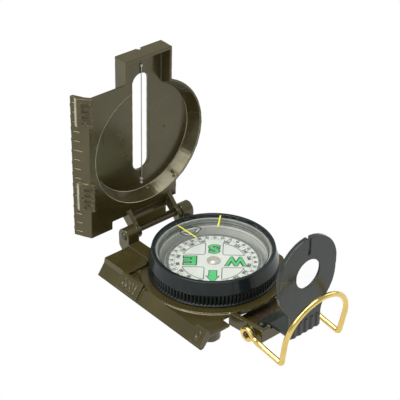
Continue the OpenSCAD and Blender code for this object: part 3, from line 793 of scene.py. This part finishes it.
# letter, angle, radius, height, squeeze
LETTERS = [("S", 180, 7.9, 5.9, 1.18), ("E", 90, 8.9, 5.9, 1.3), ("W", 270, 8.4, 5.9, 0.92)]
ARROW_TAIL, ARROW_NECK, ARROW_TIP = 6.3, 9.9, 13.6
ARROW_SHAFT_HALF, ARROW_HEAD_HALF = 1.35, 2.2
ARROW_OUTLINE = 0.3
LETTER_THICK = 0.03
FILL_Z = DIAL_TOP + 0.03


def on_dial(angle, radius):
    """Matrix placing a shape at a dial angle and radius, its top pointing outward."""
    return DIAL @ spin(-angle) @ shift(0, radius, 0)


def dial_number(number, angle, radius, height, bold):
    flat = glyphs(str(number), height, 0.02, bold=bold, squeeze=0.9)
    return moved(flat, shift(0, 0, INK_LOW) @ on_dial(angle, radius))


def panel(side_x, side_y):
    """Outline of one quarter's panel; the signs pick the quarter."""
    corner_x, corner_y = PANEL_X + PANEL_CORNER, PANEL_Y + PANEL_CORNER
    start = math.acos((PANEL_X + 0.25) / PANEL_RADIUS)
    end = math.asin((PANEL_Y + 0.25) / PANEL_RADIUS)
    points = [(corner_x - PANEL_CORNER * math.sin(t), corner_y - PANEL_CORNER * math.cos(t))
              for t in np.linspace(0, math.pi / 2, 9)]
    points += [(PANEL_X, y) for y in
               np.linspace(corner_y + 0.4, PANEL_RADIUS * math.sin(start) - 0.2, 8)]
    points += [(PANEL_RADIUS * math.cos(t), PANEL_RADIUS * math.sin(t))
               for t in np.linspace(start, end, 40)]
    points += [(x, PANEL_Y) for x in
               np.linspace(PANEL_RADIUS * math.cos(end) - 0.2, corner_x + 0.4, 8)]
    points = [(side_x * x, side_y * y) for x, y in points]
    return moved(strip(points, PANEL_LINE, INK_LOW, INK_HIGH), DIAL)


def build_scale_print():
    parts = []
    for i in range(OUTER_TICKS):
        start = OUTER_TICK_LONG if i % 4 == 0 else OUTER_TICK_SHORT
        tick = bar(-OUTER_TICK_HALF, OUTER_TICK_HALF,
                   start - OUTER_TICK_ORIGIN, OUTER_TICK_END - OUTER_TICK_ORIGIN,
                   INK_LOW + OUTER_TICK_LIFT, INK_HIGH + OUTER_TICK_LIFT)
        parts.append(moved(tick, on_dial(i * 360 / OUTER_TICKS, OUTER_TICK_ORIGIN)))
    for i in range(INNER_TICKS):
        end = INNER_TICK_LONG if i % 4 == 0 else INNER_TICK_SHORT
        tick = bar(-INNER_TICK_HALF, INNER_TICK_HALF,
                   -INNER_TICK_INWARD, end - INNER_TICK_ORIGIN, INK_LOW, INK_HIGH)
        parts.append(moved(tick, on_dial(i * 360 / INNER_TICKS, INNER_TICK_ORIGIN)))
    for i in range(OUTER_NUMBERS):
        parts.append(dial_number(i * 2, i * 360 / OUTER_NUMBERS, OUTER_NUMBER_RADIUS,
                                 height=1.25, bold=0.03))
    for i in range(INNER_NUMBERS):
        degrees = i * 360 // INNER_NUMBERS
        if degrees not in (0, 180):
            parts.append(dial_number(degrees, degrees, INNER_NUMBER_RADIUS,
                                     height=1.5, bold=0.04))
    parts += [panel(side_x, side_y) for side_x in (-1, 1) for side_y in (-1, 1)]
    build("dial_scale_print", merge(parts), MAT["print"], "dial", "card")


def north_arrow(z, grow=0.0):
    """Arrow at the dial's north, widened all round by grow."""
    shaft, head = ARROW_SHAFT_HALF + grow, ARROW_HEAD_HALF + 1.7 * grow
    tail, neck = ARROW_TAIL - grow, ARROW_NECK - grow
    outline = [(-shaft, tail), (shaft, tail), (shaft, neck), (head, neck),
               (0, ARROW_TIP + 1.6 * grow), (-head, neck), (-shaft, neck)]
    n = len(outline)
    verts = [(x, y, level) for level in (z, z + LETTER_THICK) for x, y in outline]
    faces = [tuple(range(n))[::-1], tuple(range(n, 2 * n))]
    faces += [(i, (i + 1) % n, n + (i + 1) % n, n + i) for i in range(n)]
    return moved((verts, faces), DIAL)


def build_dial_letters():
    """Green letters and arrow, each over a larger dark copy that outlines it."""
    fills, outlines = [], []
    for letter, angle, radius, height, squeeze in LETTERS:
        upright = spin(-angle) @ shift(0, radius, 0) @ spin(angle)
        fill = glyphs(letter, height, LETTER_THICK, bold=0.028, squeeze=squeeze)
        fills.append(moved(fill, DIAL @ shift(0, 0, FILL_Z) @ upright))
        outline = glyphs(letter, height * 1.08, LETTER_THICK, bold=0.085, squeeze=squeeze)
        outlines.append(moved(outline, DIAL @ shift(0, 0, INK_LOW) @ upright))
    fills.append(north_arrow(FILL_Z))
    outlines.append(north_arrow(INK_LOW, ARROW_OUTLINE))
    build("dial_letters", merge(fills), MAT["green"], "dial", "card")
    build("dial_letter_outlines", merge(outlines), MAT["dark_green"], "dial", "card")


# Pivot cap: radius, z, for a dial top at CAP_DATUM
CAP_DATUM = 11.3
CAP_PROFILE = [
    (1.15, 9.5), (1.6, 9.5), (1.6, 11.32), (2.45, 11.32), (2.6, 11.42), (2.6, 11.7),
    (2.45, 11.82), (2.1, 11.84), (1.95, 11.95), (1.6, 12.22), (1.1, 12.3), (0.0, 12.3),
    (0.0, 11.85), (1.1, 11.8),
]


def build_dial_cap():
    profile = [(r, z + DIAL_TOP - CAP_DATUM) for r, z in CAP_PROFILE]
    build("dial_cap", lathe(profile, 72), MAT["cap"], "dial", "cap_plastic", "pivot_cap")


# ---------------------------------------------------------------- thumb loop
LOOP_HALF_WIDTH = 14.1
ARCH_RADIUS = LOOP_HALF_WIDTH + 0.5
ARCH_RISE = 9.9                     # height where the round top starts
ARCH_LEAN = math.radians(10)        # towards -Y
ARCH_FOOT_Y, ARCH_FOOT_Z = AXLE_Y - 18.0, 1.05
EYE_RADIUS = 2.08                   # wire centre line round the axle
# Leg from the eye along -Y: (y, z)
LEG_NEAR = [(-36.9, 4.35), (-38.0, 3.45), (-39.3, 2.95)]
LEG_SLOPE = [(y, 3.4 - (AXLE_Y - 2 - y) / 16.0 * 2.35) for y in (-41, -43, -45, -47, -49)]
LEG_FAR = [(-50.6, 1.3), (-51.6, 1.2)]
# Lower part of the arch: how far outside the legs, height along the lean
ARCH_SIDE = [(0.1, 1.5), (0.2, 3.0), (0.35, 6.0), (0.48, 9.0)]


def on_arch(x, height):
    return (x, ARCH_FOOT_Y - height * math.sin(ARCH_LEAN),
            ARCH_FOOT_Z + height * math.cos(ARCH_LEAN))


def loop_stations():
    """Wire centre line from the -X eye over the arch to the +X eye."""
    w = LOOP_HALF_WIDTH
    eye = [(AXLE_Y + EYE_RADIUS * math.cos(math.radians(a)),
            AXLE_Z + EYE_RADIUS * math.sin(math.radians(a))) for a in range(-175, 121, 10)]
    half = [(-w, y, z) for y, z in eye + LEG_NEAR + LEG_SLOPE + LEG_FAR]
    half.append((-w - 0.02, -52.25, 1.55))
    half += [on_arch(-w - outside, height) for outside, height in ARCH_SIDE]
    top = [on_arch(-ARCH_RADIUS * math.cos(t), ARCH_RISE + ARCH_RADIUS * math.sin(t))
           for t in np.linspace(0.03, math.pi - 0.03, 25)]
    return half + top + [(-x, y, z) for x, y, z in half[::-1]]


def smooth_path(stations, step=0.35):
    """Catmull-Rom curve through the stations, resampled to an even step."""
    P = [np.asarray(p, float) for p in stations]
    P = [2 * P[0] - P[1]] + P + [2 * P[-1] - P[-2]]
    curve = []
    for i in range(1, len(P) - 2):
        p0, p1, p2, p3 = P[i - 1:i + 3]
        for t in np.linspace(0, 1, 16, endpoint=False):
            curve.append(0.5 * (2 * p1 + (p2 - p0) * t + (2 * p0 - 5 * p1 + 4 * p2 - p3) * t * t
                                + (3 * p1 - p0 - 3 * p2 + p3) * t ** 3))
    curve.append(P[-2])
    curve = np.array(curve)
    length = np.r_[0, np.cumsum(np.linalg.norm(np.diff(curve, axis=0), axis=1))]
    even = np.linspace(0, length[-1], int(length[-1] / step) + 2)
    return np.c_[tuple(np.interp(even, length, curve[:, k]) for k in range(3))]


def wire_halves(y):
    """Half thickness of the wire (sideways, upward): pressed narrow by the axle."""
    if y > -37.0:
        return 0.82, 0.98
    if y > -38.6:
        t = (-37.0 - y) / 1.6
        return 0.82 - 0.04 * t, 0.98 + 0.12 * t
    if y > -43.2:
        swell = math.sin(math.pi * (-38.6 - y) / 4.6)
        return 0.9 - 0.12 * swell, 1.03 + 0.24 * swell
    return 1.0, 1.0


def sweep(path, halves, sides=28):
    """Wire along a path; sections of uneven thickness are squarer than an ellipse."""
    tangents = np.gradient(path, axis=0)
    tangents /= np.linalg.norm(tangents, axis=1)[:, None]
    side = np.array([1.0, 0, 0])
    verts, faces = [], []
    for point, tangent, (a, b) in zip(path, tangents, halves):
        side = side - tangent * (side @ tangent)
        side /= np.linalg.norm(side)
        up = np.cross(tangent, side)
        power = 2 / (2.0 + 1.2 * min(1.0, abs(a - b) / 0.5))
        for k in range(sides):
            angle = 2 * math.pi * k / sides
            c, s = math.cos(angle), math.sin(angle)
            verts.append(point + side * a * math.copysign(abs(c) ** power, c)
                         + up * b * math.copysign(abs(s) ** power, s))
    last = len(path) - 1
    for i in range(last):
        for k in range(sides):
            m = (k + 1) % sides
            faces.append((i * sides + k, i * sides + m, (i + 1) * sides + m,
                          (i + 1) * sides + k))
    for i, sign in ((0, 1), (last, -1)):
        tip = len(verts)
        verts.append(path[i] - tangents[i] * sign * 0.12)
        for k in range(sides):
            a, b = i * sides + k, i * sides + (k + 1) % sides
            faces.append((tip, b, a) if sign > 0 else (tip, a, b))
    return verts, faces


def build_thumb_loop():
    path = smooth_path(loop_stations())
    build("thumb_loop_wire", sweep(path, [wire_halves(y) for _, y, _ in path]),
          MAT["brass"], "loop", "brass", "thumb_loop", sharp=60)


# ---------------------------------------------------------------- rivets and lens
# Profiles from the end on the axis to the shank: radius, z
HINGE_RIVET_END = [(0, -16.9), (0.55, -16.9), (0.7, -17.0), (1.1, -16.98), (1.5, -16.82),
                   (1.8, -16.5), (1.88, -16.3), (1.0, -16.3)]
REAR_RIVET_END = [(0, -15.4), (0.5, -15.4), (0.85, -15.3), (0.99, -15.05)]
LENS_PROFILE = [
    (0, -0.4), (1, -0.39), (2, -0.36), (3, -0.29), (4, -0.2), (4.8, -0.1), (5.4, 0.0),
    (6.97, 0.0), (7.05, 0.08), (7.05, 0.44), (6.98, 0.5), (5.6, 0.5), (5.0, 0.6),
    (4.0, 0.72), (3.0, 0.8), (1.5, 0.88), (0, 0.9),
]


def rivet(end, steps, y, z):
    """Pin along X with the same end on both sides."""
    profile = end + [(r, -height) for r, height in end[::-1]]
    return moved(solid_lathe(profile, steps), shift(0, y, z) @ spin(90, "Y"))


def build_rivets_and_lens():
    build("hinge_rivet", rivet(HINGE_RIVET_END, 48, HINGE_Y, HINGE_Z), MAT["pin"],
          "base", "painted_casting", "hinge_pin", sharp=35)
    build("rear_rivet", rivet(REAR_RIVET_END, 40, AXLE_Y, AXLE_Z), MAT["dark_steel_and_shade"],
          "base", "steel", "rear_axle", sharp=35)
    seat = (shift(0, AXLE_Y, AXLE_Z) @ shift(0, -LENS_BACK + LENS_SEAT, LENS_UP)
            @ spin(-90, "X"))
    build("eyepiece_lens_glass", moved(solid_lathe(LENS_PROFILE, 96), seat), MAT["lens"],
          "eyepiece", "clear", "eyepiece_lens")


# ---------------------------------------------------------------- CAD nodes shown as they are
KEPT_NODES = {
    "bezel_index": "yellow", "bezel_snap_ring": "steel", "lubber_line": "yellow",
    "dial_magnet": "magnet", "pivot_jewel": "jewel", "pivot_post": "steel",
    # the eyepiece spring is dark to paint the shade inside its channel
    "eyepiece_spring": "dark_steel_and_shade", "bottom_cover": "cover_plate", "bottom_screws": "steel",
    "sighting_wire": "steel", "wire_pegs": "peg", "lens_ring": "ring",
}


def dress_kept_nodes():
    for node, material in KEPT_NODES.items():
        keep(node, MAT[material])
    # any other visible node without a material is steel
    for node, ob in NODES.items():
        if not ob.hide_render and not ob.data.materials:
            keep(node, MAT["steel"])


# ---------------------------------------------------------------- stage, in metres
LIGHT_AIM = Vector((0.0, 0.0, 0.02))
# name, place, size, watts, colour
SOFTBOXES = [
    ("key_left", (-0.55, 0.05, 0.55), (0.5, 0.5), 3.2, (1.0, 0.98, 0.95)),
    ("top", (-0.05, 0.0, 0.75), (0.5, 0.5), 3.6, (1, 1, 1)),
    ("right", (0.55, -0.12, 0.32), (0.3, 0.4), 0.5, (0.96, 0.98, 1.0)),
]
CAMERA_TARGET = Vector((0.00716, 0.01617, 0.02692))
CAMERA_AZIMUTH, CAMERA_ELEVATION = math.radians(-40.547), math.radians(32.248)
CAMERA_DISTANCE = 0.49988


def build_floor():
    """White glowing floor, a little dimmer as a light source than as seen."""
    half, z = 6, -0.0002
    mesh = bpy.data.meshes.new("floor")
    mesh.from_pydata([(-half, -half, z), (half, -half, z), (half, half, z), (-half, half, z)],
                     [], [(0, 1, 2, 3)])
    white = bpy.data.materials.new("white_sweep")
    tree = ShaderTree(white)
    seen = tree.add("ShaderNodeLightPath").outputs["Is Camera Ray"]
    strength = tree.remap(seen, 0.0, 1.0, to_low=0.8, to_high=1.0)
    glow = tree.add("ShaderNodeEmission", {1: strength}).outputs[0]
    tree.add("ShaderNodeOutputMaterial", {0: glow})
    mesh.materials.append(white)
    floor = bpy.data.objects.new("floor", mesh)
    scene.collection.objects.link(floor)


def build_world():
    """Pure white to the camera, a soft cool fill to everything else."""
    world = bpy.data.worlds.new("studio")
    scene.world = world
    tree = ShaderTree(world)
    seen = tree.add("ShaderNodeBackground", {0: (1, 1, 1, 1), 1: 1.0}).outputs[0]
    fill = tree.add("ShaderNodeBackground", {0: (0.96, 0.98, 1.0, 1), 1: 0.42}).outputs[0]
    camera_ray = tree.add("ShaderNodeLightPath").outputs["Is Camera Ray"]
    tree.add("ShaderNodeOutputWorld", {0: tree.mix_shader(camera_ray, fill, seen)})


def build_lights():
    for name, place, (size_x, size_y), watts, color in SOFTBOXES:
        light = bpy.data.lights.new(name, "AREA")
        light.shape = "RECTANGLE"
        light.size, light.size_y = size_x, size_y
        light.energy = watts
        light.color = color
        ob = bpy.data.objects.new(name, light)
        ob.location = place
        ob.rotation_euler = (LIGHT_AIM - Vector(place)).to_track_quat("-Z", "Y").to_euler()
        scene.collection.objects.link(ob)


def build_camera():
    camera = bpy.data.cameras.new("cam")
    camera.sensor_width = 36.0
    camera.lens = 118.64
    camera.clip_start, camera.clip_end = 0.01, 20
    ob = bpy.data.objects.new("cam", camera)
    scene.collection.objects.link(ob)
    level = math.cos(CAMERA_ELEVATION)
    back = Vector((math.sin(CAMERA_AZIMUTH) * level, -math.cos(CAMERA_AZIMUTH) * level,
                   math.sin(CAMERA_ELEVATION)))
    ob.location = CAMERA_TARGET + back * CAMERA_DISTANCE
    ob.rotation_euler = (-back).to_track_quat("-Z", "Y").to_euler()
    scene.camera = ob
    scene.view_settings.view_transform = "Standard"
    scene.view_settings.look = "None"
    scene.view_settings.exposure = 0.0


build_castings()
build_numerals()
build_cover_and_wall_details()
build_bezel()
build_capsule()
build_dial_card()
build_air_bubble()
build_scale_print()
build_dial_letters()
build_dial_cap()
build_thumb_loop()
build_rivets_and_lens()
dress_kept_nodes()
build_floor()
build_world()
build_lights()
build_camera()
